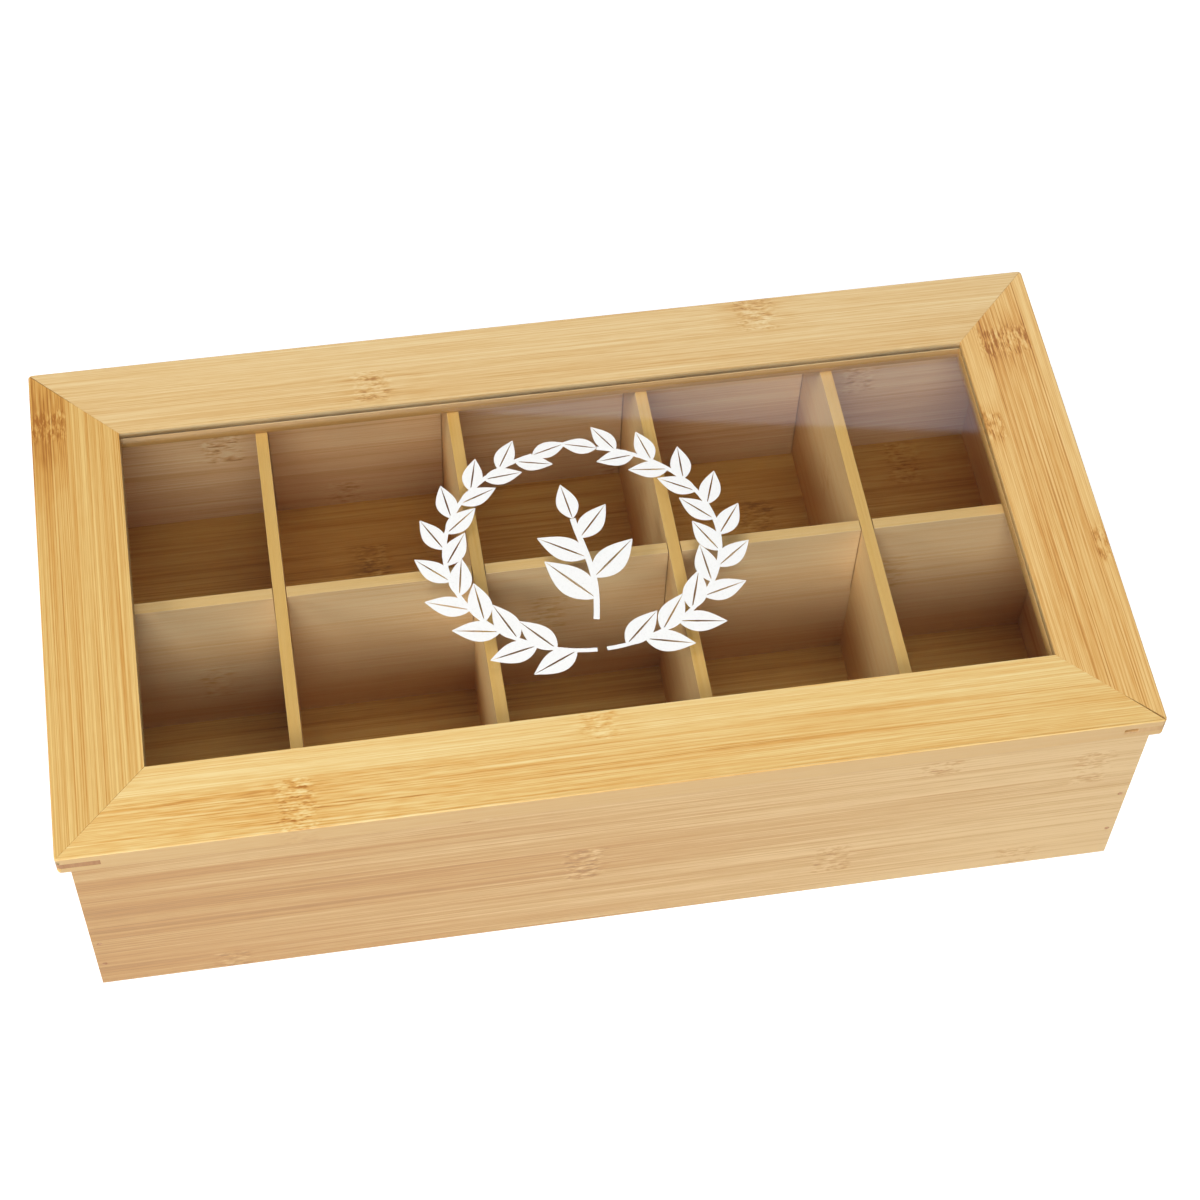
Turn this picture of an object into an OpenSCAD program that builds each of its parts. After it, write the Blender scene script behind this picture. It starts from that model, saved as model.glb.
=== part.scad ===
// Tea bag organizer box. Ten lapped compartments stand in a nailed box, under a
// hinged lid of four mitred rails that hold a clear pane in a groove.
// Millimetres, +Z up. The origin lies under the centre of the closed lid, at the
// height of the walls' bottom edges. -Y is the front.

/* [Box] */
// Width of the box, outside
box_w = 352; // [260:1:480]
// Depth of the box, outside
box_d = 192; // [130:1:280]
// Height of the box without its lid
box_h = 81.5; // [50:0.5:140]
// Thickness of the four walls
wall_t = 9; // [8:0.5:14]

/* [Floor] */
// Thickness of the floor panel
floor_t = 4; // [3:0.5:6]
// Height of the floor's underside above the walls' bottom edges
floor_recess = 4.5; // [2:0.5:8]
// How deep the floor's edges are housed in the walls
floor_housing = 4; // [2:0.5:6]
// Clearance round the floor's edges in their groove
floor_play = 0.25; // [0.1:0.05:0.5]

/* [Dividers] */
// Thickness of the dividers
divider_t = 4.2; // [3:0.1:8]
// Drop from the walls' top edges to the dividers' top edges
rim_gap = 0.5; // [0.2:0.1:10]
// How deep the dividers' ends are housed in the walls
dado_depth = 1.5; // [1:0.25:3]
// Clearance at a divider's ends
dado_play = 0.25; // [0.1:0.05:0.5]
// Clearance on each side of a divider in its dados and laps
lap_play = 0.05; // [0.02:0.01:0.2]

/* [Lid] */
// Thickness of the lid's rails
lid_t = 8.5; // [8:0.5:14]
// Width of the lid's rails
rail_w = 30; // [20:1:50]
// How far the lid stands out past each end of the box
side_overhang = 4; // [0:0.5:10]
// How far the lid stands out past the front wall
front_overhang = 1; // [0:0.5:6]
// How far the lid stands out past the back wall
back_overhang = 2; // [1:0.1:2.4]
// Radius of the lid's upright corners
corner_r = 1.5; // [0.5:0.5:6]

/* [Pane] */
// Thickness of the clear pane
pane_t = 2; // [1.5:0.1:3]
// Drop from the lid's top face to the pane's
pane_drop = 3.3; // [1.5:0.1:5]
// How deep the pane's edges are housed in the rails
pane_housing = 5; // [2:0.5:10]
// Clearance round the pane's edges in their groove
pane_play = 0.3; // [0.1:0.05:0.5]

/* [Mitre keys] */
// Length of a key along each of the lid's outer edges
key_leg = 14; // [8:0.5:20]
// Thickness of a key
key_t = 2.7; // [1.5:0.1:3]
// Drop from the lid's top face to a key's
key_drop = 3; // [1.5:0.1:5]

/* [Hinges] */
// Length of a hinge
hinge_len = 30; // [24:1:50]
// Distance from an end of the box to the middle of its hinge
hinge_inset = 66; // [40:1:90]
// Width of a leaf, from the pin's axis to its free edge
leaf_w = 7; // [6.5:0.1:7.2]
// Thickness of a leaf
leaf_t = 1; // [1:0.1:1.4]
// Clearance round a leaf in its mortise
leaf_play = 0.1; // [0.05:0.05:0.3]
// Diameter of the hinge's barrel
barrel_d = 3.2; // [3:0.1:3.6]
// Clearance round the barrel in the wood, and beside the leaf it passes
barrel_clear = 0.2; // [0.1:0.05:0.4]
// Diameter of the hinge's pin
pin_d = 1.6; // [1.2:0.1:1.8]
// Clearance round the pin in the lid's knuckles
pin_play = 0.05; // [0.02:0.01:0.1]
// Distance from the back wall's back face to the pin's axis
axis_offset = 0.4; // [0.2:0.05:0.5]
// Gap between two knuckles
knuckle_gap = 0.2; // [0.1:0.05:0.4]

/* [Screws] */
// Diameter of the hinge screws
screw_d = 2; // [1.6:0.1:2.2]
// Diameter of the hinge screws' heads
screw_head_d = 3.6; // [3.2:0.1:3.6]
// Depth of the heads below the leaf's face
head_recess = 0.1; // [0.05:0.05:0.2]
// Length of the screws in the box
box_screw_len = 10; // [6:0.5:16]
// Length of the screws in the lid
lid_screw_len = 6; // [4:0.5:6.5]
// Distance between the two screws of a leaf
screw_pitch = 18; // [14:1:20]
// Clearance round a screw in its leaf
screw_play = 0.05; // [0.02:0.01:0.1]
// Width of the slots of a head's cross recess
recess_w = 0.5; // [0.4:0.1:0.6]
// Depth of a head's cross recess
recess_depth = 0.4; // [0.3:0.1:0.5]

/* [Brads] */
// Diameter of the corner brads
brad_d = 1.2; // [1:0.1:2]
// Diameter of the brads' heads
brad_head_d = 1.8; // [1.4:0.1:3]
// Thickness of the brads' heads
brad_head_t = 0.6; // [0.4:0.1:1]
// Length of the brads
brad_len = 22; // [14:1:35]
// Distance from an end of the box to its brads
brad_edge = 2.5; // [2:0.25:5]
// Height of the lower brad at the left corners
left_brad_low = 14.5; // [6:0.5:22]
// Height of the upper brad at the left corners
left_brad_high = 29; // [26:0.5:70]
// Height of the lower brad at the right corners
right_brad_low = 18; // [6:0.5:30]
// Height of the upper brad at the right corners
right_brad_high = 42; // [34:0.5:70]

/* [Hidden] */
$fn = 48;

// Numbers of compartments along X and of knuckles in a hinge
columns = 5;
knuckles = 5;
// How far a cut runs past the face that it opens
over = 1;
// The right way round for each end of the box and each side of the lid
LEFT = -1;
RIGHT = 1;
FRONT = -1;
BACK = 1;

lid_w = box_w + 2 * side_overhang;
lid_d = box_d + front_overhang + back_overhang;
lid_top = box_h + lid_t;
window_w = lid_w - 2 * rail_w;
window_d = lid_d - 2 * rail_w;
pane_top = lid_top - pane_drop;
key_top = lid_top - key_drop;

box_front = -lid_d / 2 + front_overhang;
box_back = lid_d / 2 - back_overhang;
inner_w = box_w - 2 * wall_t;
inner_front = box_front + wall_t;
inner_back = box_back - wall_t;
middle_y = (inner_front + inner_back) / 2;

floor_top = floor_recess + floor_t;
divider_top = box_h - rim_gap;
// Half the dividers' height, where the long divider and the cross dividers lap
lap_z = (floor_top + divider_top) / 2;
// Length of a divider's end inside its dado
housed = dado_depth - dado_play;
// Width of a dado or a lap slot
slot_w = divider_t + 2 * lap_play;
cell_w = (inner_w - (columns - 1) * divider_t) / columns;
function divider_x(i) = -inner_w / 2 + i * (cell_w + divider_t) - divider_t / 2;

axis_y = box_back + axis_offset;
barrel_r = barrel_d / 2;
// Distance from the axis to the leaf edges that the other knuckles pass
barrel_room = barrel_r + barrel_clear;
knuckle_len = (hinge_len - (knuckles - 1) * knuckle_gap) / knuckles;
function knuckle_x(k) = -hinge_len / 2 + k * (knuckle_len + knuckle_gap);
function hinge_x(side) = side * (box_w / 2 - hinge_inset);
// The screws stand in the middle of the leaf's plain strip
screw_y = axis_y - (leaf_w + barrel_room) / 2;
head_h = (screw_head_d - screw_d) / 2;

honey = [0.90, 0.76, 0.47];
tan_wood = [0.85, 0.71, 0.50];
brown = [0.48, 0.32, 0.18];
brass = [0.78, 0.62, 0.32];
steel = [0.62, 0.60, 0.58];
clear = [0.85, 0.90, 0.92, 0.25];

// A box between two opposite corners
module block(low, high) {
  translate(low) cube(high - low);
}

// A cylinder along X that starts at the point
module rod_x(start, d, length) {
  translate(start) rotate([0, 90, 0]) cylinder(d = d, h = length);
}

// ---- Box ----

// The floor panel, grown at its edges by the play
module floor_slab(play) {
  reach = floor_housing + play;
  block([-inner_w / 2 - reach, inner_front - reach, floor_recess],
        [inner_w / 2 + reach, inner_back + reach, floor_top]);
}

module floor_panel() color(brown) floor_slab(0);

// Dados for the cross dividers, through both long walls
module cross_dados() {
  for (i = [1 : columns - 1])
    block([divider_x(i) - slot_w / 2, inner_front - dado_depth, floor_top],
          [divider_x(i) + slot_w / 2, inner_back + dado_depth, box_h + over]);
}

// Dados for the long divider, through both side walls
module long_dado() {
  block([-inner_w / 2 - dado_depth, middle_y - slot_w / 2, floor_top],
        [inner_w / 2 + dado_depth, middle_y + slot_w / 2, box_h + over]);
}

// One brad, driven along +Y from a wall's outer face
module brad() {
  rotate([-90, 0, 0]) {
    cylinder(d = brad_d, h = brad_len);
    cylinder(d = brad_head_d, h = brad_head_t);
  }
}

// The brads of the front wall
module brad_row() {
  for (z = [left_brad_low, left_brad_high])
    translate([-box_w / 2 + brad_edge, box_front, z]) brad();
  for (z = [right_brad_low, right_brad_high])
    translate([box_w / 2 - brad_edge, box_front, z]) brad();
}

// The back wall's brads are the front wall's, turned round the box's middle plane
module back_brad_row() {
  translate([0, middle_y, 0]) mirror([0, 1, 0]) translate([0, -middle_y, 0]) brad_row();
}

module front_brads() color(steel) brad_row();

module back_brads() color(steel) back_brad_row();

module front_wall() color(tan_wood) difference() {
  block([-box_w / 2, box_front, 0], [box_w / 2, inner_front, box_h]);
  floor_slab(floor_play);
  cross_dados();
  brad_row();
}

module back_wall() color(tan_wood) difference() {
  block([-box_w / 2, inner_back, 0], [box_w / 2, box_back, box_h]);
  floor_slab(floor_play);
  cross_dados();
  back_brad_row();
  for (side = [LEFT, RIGHT]) translate([hinge_x(side), 0, 0]) {
    leaf_mortise(box_h - leaf_t, box_h + over);
    box_screw_pair();
  }
}

// A side wall stands between the front and back walls
module side_wall(side) difference() {
  block([min(side * inner_w, side * box_w) / 2, inner_front, 0],
        [max(side * inner_w, side * box_w) / 2, inner_back, box_h]);
  floor_slab(floor_play);
  long_dado();
  brad_row();
  back_brad_row();
}

module left_wall() color(tan_wood) side_wall(LEFT);

module right_wall() color(tan_wood) side_wall(RIGHT);

// ---- Dividers ----

// The long divider is slotted from above for the cross dividers
module long_divider() color(honey) difference() {
  block([-inner_w / 2 - housed, middle_y - divider_t / 2, floor_top],
        [inner_w / 2 + housed, middle_y + divider_t / 2, divider_top]);
  for (i = [1 : columns - 1])
    block([divider_x(i) - slot_w / 2, middle_y - divider_t, lap_z],
          [divider_x(i) + slot_w / 2, middle_y + divider_t, divider_top + over]);
}

// A cross divider is slotted from below and drops over the long divider
module cross_divider(i) color(honey) difference() {
  block([divider_x(i) - divider_t / 2, inner_front - housed, floor_top],
        [divider_x(i) + divider_t / 2, inner_back + housed, divider_top]);
  block([divider_x(i) - divider_t, middle_y - slot_w / 2, floor_top - over],
        [divider_x(i) + divider_t, middle_y + slot_w / 2, lap_z]);
}

// ---- Lid ----

// The whole lid as a slab with rounded upright corners
module lid_slab() {
  straight_w = lid_w / 2 - corner_r;
  straight_d = lid_d / 2 - corner_r;
  block([-lid_w / 2, -straight_d, box_h], [lid_w / 2, straight_d, lid_top]);
  block([-straight_w, -lid_d / 2, box_h], [straight_w, lid_d / 2, lid_top]);
  for (x = [-straight_w, straight_w], y = [-straight_d, straight_d])
    translate([x, y, box_h]) cylinder(r = corner_r, h = lid_t);
}

// The pane, grown at its edges by the play
module pane_slab(play) {
  half_w = window_w / 2 + pane_housing + play;
  half_d = window_d / 2 + pane_housing + play;
  block([-half_w, -half_d, pane_top - pane_t], [half_w, half_d, pane_top]);
}

module clear_pane() color(clear) pane_slab(0);

// A three-cornered slab across one mitre
module key_slab(side, end) {
  x = side * lid_w / 2;
  y = end * lid_d / 2;
  translate([0, 0, key_top - key_t]) linear_extrude(key_t)
    polygon([[x, y], [x - side * key_leg, y], [x, y - end * key_leg]]);
}

module lid_key(side, end) color(brown) intersection() {
  key_slab(side, end);
  lid_slab();
}

module all_key_slabs() {
  for (side = [LEFT, RIGHT], end = [FRONT, BACK]) key_slab(side, end);
}

// A front or back rail, mitred at both ends and grooved for the pane
module long_rail(end) difference() {
  intersection() {
    translate([0, 0, box_h]) linear_extrude(lid_t)
      polygon([[-lid_w / 2, end * lid_d / 2], [lid_w / 2, end * lid_d / 2],
               [window_w / 2, end * window_d / 2], [-window_w / 2, end * window_d / 2]]);
    lid_slab();
  }
  pane_slab(pane_play);
  all_key_slabs();
}

// A left or right rail, mitred at both ends and grooved for the pane
module short_rail(side) difference() {
  intersection() {
    translate([0, 0, box_h]) linear_extrude(lid_t)
      polygon([[side * lid_w / 2, -lid_d / 2], [side * lid_w / 2, lid_d / 2],
               [side * window_w / 2, window_d / 2], [side * window_w / 2, -window_d / 2]]);
    lid_slab();
  }
  pane_slab(pane_play);
  all_key_slabs();
}

module lid_front_rail() color(honey) long_rail(FRONT);

module lid_back_rail() color(honey) difference() {
  long_rail(BACK);
  for (side = [LEFT, RIGHT]) translate([hinge_x(side), 0, 0]) {
    leaf_mortise(box_h - over, box_h + leaf_t);
    lid_screw_pair();
  }
}

module lid_left_rail() color(honey) short_rail(LEFT);

module lid_right_rail() color(honey) short_rail(RIGHT);

// ---- Hinges ----

// Room in the wood for a leaf between two heights, and for the barrel
module leaf_mortise(z_low, z_high) {
  half = hinge_len / 2 + leaf_play;
  block([-half, axis_y - leaf_w - leaf_play, z_low], [half, axis_y, z_high]);
  rod_x([-half, axis_y, box_h], 2 * barrel_room, 2 * half);
}

// A leaf with every second knuckle, on the side of the lid or of the box
module leaf_blank(first, z_low) difference() {
  union() {
    block([-hinge_len / 2, axis_y - leaf_w, z_low], [hinge_len / 2, axis_y, z_low + leaf_t]);
    for (k = [first : 2 : knuckles - 1])
      rod_x([knuckle_x(k), axis_y, box_h], barrel_d, knuckle_len);
  }
  for (k = [1 - first : 2 : knuckles - 1])
    block([knuckle_x(k) - knuckle_gap, axis_y - barrel_room, box_h - barrel_d],
          [knuckle_x(k) + knuckle_len + knuckle_gap, axis_y + barrel_d, box_h + barrel_d]);
}

// The box's leaf holds the pin tight
module box_leaf(side) color(brass) translate([hinge_x(side), 0, 0]) difference() {
  leaf_blank(0, box_h - leaf_t);
  rod_x([-hinge_len / 2 - over, axis_y, box_h], pin_d, hinge_len + 2 * over);
  for (x = [-screw_pitch / 2, screw_pitch / 2])
    translate([x, screw_y, box_h]) leaf_hole();
}

// The lid's leaf turns on the pin
module lid_leaf(side) color(brass) translate([hinge_x(side), 0, 0]) difference() {
  leaf_blank(1, box_h);
  rod_x([-hinge_len / 2 - over, axis_y, box_h], pin_d + 2 * pin_play, hinge_len + 2 * over);
  for (x = [-screw_pitch / 2, screw_pitch / 2])
    translate([x, screw_y, box_h]) mirror([0, 0, 1]) leaf_hole();
}

module hinge_pin(side) color(brass)
  rod_x([hinge_x(side) - hinge_len / 2, axis_y, box_h], pin_d, hinge_len);

// ---- Screws ----

// A countersunk hole through a leaf whose face is at Z = 0
module leaf_hole() {
  translate([0, 0, -leaf_t - over]) cylinder(d = screw_d + 2 * screw_play, h = leaf_t + 2 * over);
  translate([0, 0, -head_recess - head_h])
    cylinder(d1 = screw_d + 2 * screw_play, d2 = screw_head_d + 2 * screw_play, h = head_h);
  translate([0, 0, -head_recess]) cylinder(d = screw_head_d + 2 * screw_play, h = head_recess + over);
}

// A pointed screw that hangs from a leaf whose face is at Z = 0
module screw_body(length) translate([0, 0, -head_recess]) {
  translate([0, 0, -head_h]) cylinder(d1 = screw_d, d2 = screw_head_d, h = head_h);
  translate([0, 0, screw_d - length]) cylinder(d = screw_d, h = length - screw_d);
  translate([0, 0, -length]) cylinder(d1 = 0, d2 = screw_d, h = screw_d);
}

// The same screw with its cross recess
module screw(length) difference() {
  screw_body(length);
  for (turn = [0, 90]) rotate([0, 0, turn])
    block([-screw_d / 2, -recess_w / 2, -head_recess - recess_depth], [screw_d / 2, recess_w / 2, over]);
}

// Places its children on a leaf's two screws, facing up or down
module at_screws() {
  for (x = [-screw_pitch / 2, screw_pitch / 2])
    translate([x, screw_y, box_h]) children();
}

module box_screw_pair() at_screws() screw_body(box_screw_len);

module lid_screw_pair() at_screws() mirror([0, 0, 1]) screw_body(lid_screw_len);

module box_screws(side) color(brass)
  translate([hinge_x(side), 0, 0]) at_screws() screw(box_screw_len);

module lid_screws(side) color(brass)
  translate([hinge_x(side), 0, 0]) at_screws() mirror([0, 0, 1]) screw(lid_screw_len);

// ---- Nodes ----

front_wall();
back_wall();
left_wall();
right_wall();
floor_panel();
long_divider();
cross_divider(1);  // cross_divider_1
cross_divider(2);  // cross_divider_2
cross_divider(3);  // cross_divider_3
cross_divider(4);  // cross_divider_4
front_brads();
back_brads();
lid_front_rail();
lid_back_rail();
lid_left_rail();
lid_right_rail();
lid_key(LEFT, FRONT);  // lid_key_front_left
lid_key(RIGHT, FRONT);  // lid_key_front_right
lid_key(LEFT, BACK);  // lid_key_back_left
lid_key(RIGHT, BACK);  // lid_key_back_right
clear_pane();
box_leaf(LEFT);  // box_leaf_left
box_leaf(RIGHT);  // box_leaf_right
lid_leaf(LEFT);  // lid_leaf_left
lid_leaf(RIGHT);  // lid_leaf_right
hinge_pin(LEFT);  // hinge_pin_left
hinge_pin(RIGHT);  // hinge_pin_right
box_screws(LEFT);  // box_screws_left
box_screws(RIGHT);  // box_screws_right
lid_screws(LEFT);  // lid_screws_left
lid_screws(RIGHT);  // lid_screws_right
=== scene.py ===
import math

import bmesh
import bpy
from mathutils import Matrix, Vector


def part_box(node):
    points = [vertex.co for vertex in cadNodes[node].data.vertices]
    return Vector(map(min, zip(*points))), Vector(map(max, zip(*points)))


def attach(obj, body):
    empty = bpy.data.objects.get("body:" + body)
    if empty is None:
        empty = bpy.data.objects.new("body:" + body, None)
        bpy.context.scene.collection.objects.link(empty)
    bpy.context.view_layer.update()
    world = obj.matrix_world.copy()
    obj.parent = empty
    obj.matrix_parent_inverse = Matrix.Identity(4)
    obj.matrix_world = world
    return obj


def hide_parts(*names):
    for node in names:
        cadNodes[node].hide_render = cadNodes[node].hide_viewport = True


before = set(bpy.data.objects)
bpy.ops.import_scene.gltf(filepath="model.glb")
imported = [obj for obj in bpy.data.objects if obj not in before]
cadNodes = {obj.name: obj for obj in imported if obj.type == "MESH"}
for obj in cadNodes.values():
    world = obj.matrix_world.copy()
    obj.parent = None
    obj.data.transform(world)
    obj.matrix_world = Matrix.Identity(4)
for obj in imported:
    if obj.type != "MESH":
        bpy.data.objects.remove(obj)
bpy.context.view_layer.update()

mm = 0.001
print("frame loaded:", len(cadNodes), "nodes")


def toLinear(hexColor):
    # sRGB hex to the linear colour that shaders use
    channels = [int(hexColor[i : i + 2], 16) / 255 for i in (1, 3, 5)]
    return [c / 12.92 if c <= 0.04045 else ((c + 0.055) / 1.055) ** 2.4 for c in channels] + [1.0]


def addNode(tree, kind, settings=None, inputs=None):
    # one node; its settings are a dictionary or only the name of its operation, and an input is
    # a value, a socket to link from, a node whose first output is linked, or a list of these
    node = tree.nodes.new(kind)
    if isinstance(settings, str):
        settings = {"operation": settings}
    for name, value in (settings or {}).items():
        setattr(node, name, value)
    for key, value in (inputs or {}).items():
        for one in value if isinstance(value, list) and not isinstance(value[0], float) else [value]:
            if isinstance(one, bpy.types.Node):
                one = one.outputs[0]
            if isinstance(one, bpy.types.NodeSocket):
                tree.links.new(one, node.inputs[key])
            else:
                node.inputs[key].default_value = one
    return node


def newMaterial(name):
    material = bpy.data.materials.new(name)
    material.use_nodes = True
    material.node_tree.nodes.clear()
    return material, material.node_tree


def stretchedNoise(tree, coords, length, width, detail, roughness=0.5):
    # noise drawn out along the first axis, its cells this long and this wide
    drawn = addNode(tree, "ShaderNodeMapping", None, {
        "Vector": coords, "Scale": (1 / length, 1 / width, 1 / width)})
    return addNode(tree, "ShaderNodeTexNoise", None, {
        "Vector": drawn, "Scale": 1.0, "Detail": detail, "Roughness": roughness})


def tinted(tree, value, span, most, color, tint):
    # a colour that leans towards a tint as the value rises through a span, and how far it does
    share = addNode(tree, "ShaderNodeMapRange", None, {0: value, 1: span[0], 2: span[1], 3: 0.0, 4: most})
    mixed = addNode(tree, "ShaderNodeMix", {"data_type": "RGBA"}, {0: share, 6: color, 7: toLinear(tint)})
    return mixed.outputs[2], share


def finishSurface(tree, look, height, inputs, invert=False):
    # ends a material in an opaque surface, its fine relief following a height
    bump = addNode(tree, "ShaderNodeBump", {"invert": invert}, {
        "Strength": look["bumpStrength"], "Distance": look["bumpHeight"] * mm, "Height": height})
    shader = addNode(tree, "ShaderNodeBsdfPrincipled", None, {**inputs, "Normal": bump})
    addNode(tree, "ShaderNodeOutputMaterial", None, {0: shader})


bambooLook = {
    "wander": 0.5, "driftSize": (110.0, 24.0),  # mm that the fibres drift sideways, and how slowly
    # each layer of fibres: length and width in mm, and how much it darkens the wood
    "layers": [(300.0, 6.0, 0.22), (160.0, 1.8, 0.20), (110.0, 0.6, 0.50), (60.0, 0.32, 0.68),
               (9.0, 0.45, 0.30)],
    "blotch": (12.0, 1.0, 0.60),  # the shorter, stronger fibres on both sides of a node
    "fibreDetail": (1.0, 0.55),
    "darkenAlong": 0.0,  # how much darker the wood gets over 100 mm along the grain
    "stripTone": 0.12,  # how far the strips differ
    "stripWidth": 20.0, "stripEdge": 0.0, "stripShift": 173.0,  # mm
    "markHalf": 6.2,  # mm, half a node mark's length along the grain
    "markBlend": (2.0, 0.6),  # mm, how softly a mark ends along the grain and across it
    "haloStart": 4.0, "toastStart": 1.0,  # mm from a mark's middle
    # the torn fibres in a node mark, as a layer is given, and the share of them that turns pale
    "fleck": (4.6, 1.0, 1.25), "fleckBalance": 0.49, "fleckDetail": (0.6, 0.5),
    # how they are crumpled: waves per mm along and across, mm that the mark's edge strays,
    # and how finely and how many mm each fibre is bent
    "crumple": (0.12, 0.40), "stray": 7.0, "bendScale": 3.0, "bend": (3.0, 2.6),
    "toneStops": (0.24, 0.48, 0.70, 1.0),  # the densities of the light, base, streak and deep tones
    "bumpHeight": 0.10, "bumpStrength": 0.6,  # mm, and the share of it that shows
    "roughness": 0.46, "fibreRoughness": 0.25, "ior": 1.5,
    # the colour that sawn ends and narrow sides lean towards and how far, and how squarely a face
    # has to look that way for it to start and to be full
    "ends": ("#B5854C", 0.6), "edges": ("#E0BC84", 0.0), "turned": (0.75, 0.95),
}


def bamboo(name, spec):
    # Plain-pressed bamboo, planed, sanded and given a thin satin lacquer: strips lie side by
    # side with hardly a line between them, and each has its own tone, fibres and node marks
    look = {**bambooLook, **spec}
    material, tree = newMaterial(name)
    coords = addNode(tree, "ShaderNodeTexCoord")
    inMm = addNode(tree, "ShaderNodeVectorMath", "SCALE", {0: coords.outputs["Object"], "Scale": 1 / mm})
    parts = addNode(tree, "ShaderNodeSeparateXYZ", None, {0: inMm})
    along, across, depth = (parts.outputs[look[key]] for key in ("grain", "across", "depth"))
    turned = addNode(tree, "ShaderNodeCombineXYZ", None, {0: along, 1: across, 2: depth})

    # each strip has a random tone, and its fibres start elsewhere
    place = addNode(tree, "ShaderNodeMath", "SUBTRACT", {0: across, 1: look["stripEdge"]})
    place = addNode(tree, "ShaderNodeMath", "DIVIDE", {0: place, 1: look["stripWidth"]})
    strip = addNode(tree, "ShaderNodeMath", "FLOOR", {0: place})
    seeded = addNode(tree, "ShaderNodeMath", "ADD", {0: strip, 1: look["seed"]})
    tone = addNode(tree, "ShaderNodeTexWhiteNoise", {"noise_dimensions": "1D"}, {"W": seeded})
    start = addNode(tree, "ShaderNodeMath", "MULTIPLY_ADD", {0: seeded, 1: look["stripShift"], 2: along})
    drift = stretchedNoise(tree, turned, *look["driftSize"], 0.0)
    drift = addNode(tree, "ShaderNodeMath", "MULTIPLY_ADD", {0: drift, 1: 2 * look["wander"], 2: across})
    shifted = addNode(tree, "ShaderNodeCombineXYZ", None, {0: start, 1: drift, 2: depth})

    # the places of the node marks, of the disturbed fibres round them and of toasted wood
    mark = halo = toast = 0.0
    lengthwise, sideways = look["crumple"]
    crumpled = addNode(tree, "ShaderNodeMapping", None, {
        "Vector": turned, "Scale": (lengthwise, sideways, sideways)})
    jitter = addNode(tree, "ShaderNodeTexNoise", None, {"Vector": crumpled, "Scale": 1.0, "Detail": 1.0})
    jitter = addNode(tree, "ShaderNodeMath", "MULTIPLY_ADD", {
        0: jitter, 1: look["stray"], 2: -look["stray"] / 2})
    endBlend, sideBlend = look["markBlend"]
    for x, low, high, strength, reach, toastReach, toastAmount in look["marks"]:
        above, below = (addNode(tree, "ShaderNodeMapRange", None, {
            0: across, 1: side - sideBlend, 2: side + sideBlend, 3: before, 4: 1.0 - before})
            for side, before in ((low, 0.0), (high, 1.0)))
        inStrip = addNode(tree, "ShaderNodeMath", "MULTIPLY", {0: above, 1: below})
        far = addNode(tree, "ShaderNodeMath", "SUBTRACT", {0: along, 1: x})
        far = addNode(tree, "ShaderNodeMath", "ADD", {0: far, 1: jitter})
        far = addNode(tree, "ShaderNodeMath", "ABSOLUTE", {0: far})
        shares = []
        for near, end, most in ((look["markHalf"] - endBlend, look["markHalf"] + endBlend, strength),
                                (look["haloStart"], reach, strength),
                                (look["toastStart"], toastReach, toastAmount)):
            share = addNode(tree, "ShaderNodeMapRange", {"interpolation_type": "SMOOTHSTEP"}, {
                0: far, 1: near, 2: end, 3: most, 4: 0.0})
            shares.append(addNode(tree, "ShaderNodeMath", "MULTIPLY", {0: share, 1: inStrip}))
        mark = addNode(tree, "ShaderNodeMath", "MAXIMUM", {0: mark, 1: shares[0]})
        halo = addNode(tree, "ShaderNodeMath", "MAXIMUM", {0: halo, 1: shares[1]})
        toast = addNode(tree, "ShaderNodeMath", "ADD", {0: toast, 1: shares[2]})

    # how dark the wood is here: 0 is the palest and 1 the deepest streak
    density = addNode(tree, "ShaderNodeMath", "MULTIPLY_ADD", {
        0: tone, 1: look["stripTone"], 2: 0.5 - look["stripTone"] / 2})
    density = addNode(tree, "ShaderNodeMath", "ADD", {0: density, 1: toast})
    density = addNode(tree, "ShaderNodeMath", "MULTIPLY_ADD", {0: along, 1: look["darkenAlong"] / 100, 2: density})
    fibres = []
    for (length, width, gain), share in [(layer, 1.0) for layer in look["layers"]] + [(look["blotch"], halo)]:
        fibre = stretchedNoise(tree, shifted, length, width, *look["fibreDetail"])
        fibre = addNode(tree, "ShaderNodeMath", "MULTIPLY_ADD", {0: fibre, 1: gain, 2: -gain / 2})
        density = addNode(tree, "ShaderNodeMath", "MULTIPLY_ADD", {0: fibre, 1: share, 2: density})
        fibres.append(fibre)
    # torn and turned fibres across a node, some of them pale and some dark
    length, width, gain = look["fleck"]
    endBend, sideBend = look["bend"]
    bent = addNode(tree, "ShaderNodeTexNoise", None, {
        "Vector": crumpled, "Scale": look["bendScale"], "Detail": 1.0})
    bent = addNode(tree, "ShaderNodeVectorMath", "MULTIPLY_ADD", {
        0: bent.outputs["Color"], 1: (endBend, sideBend, sideBend), 2: turned})
    torn = stretchedNoise(tree, bent, length, width, *look["fleckDetail"])
    torn = addNode(tree, "ShaderNodeMath", "MULTIPLY_ADD", {
        0: torn, 1: gain, 2: -gain * look["fleckBalance"]})
    torn = addNode(tree, "ShaderNodeMath", "MULTIPLY", {0: torn, 1: mark})
    density = addNode(tree, "ShaderNodeMath", "ADD", {0: density, 1: torn})

    ramp = addNode(tree, "ShaderNodeValToRGB", None, {0: density})
    stops = ramp.color_ramp.elements
    lightStop, baseStop, streakStop, deepStop = look["toneStops"]
    stops[0].position, stops[0].color = lightStop, toLinear(look["light"])
    stops[1].position, stops[1].color = deepStop, toLinear(look["deep"])
    stops.new(baseStop).color = toLinear(look["base"])
    stops.new(streakStop).color = toLinear(look["streak"])

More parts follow.
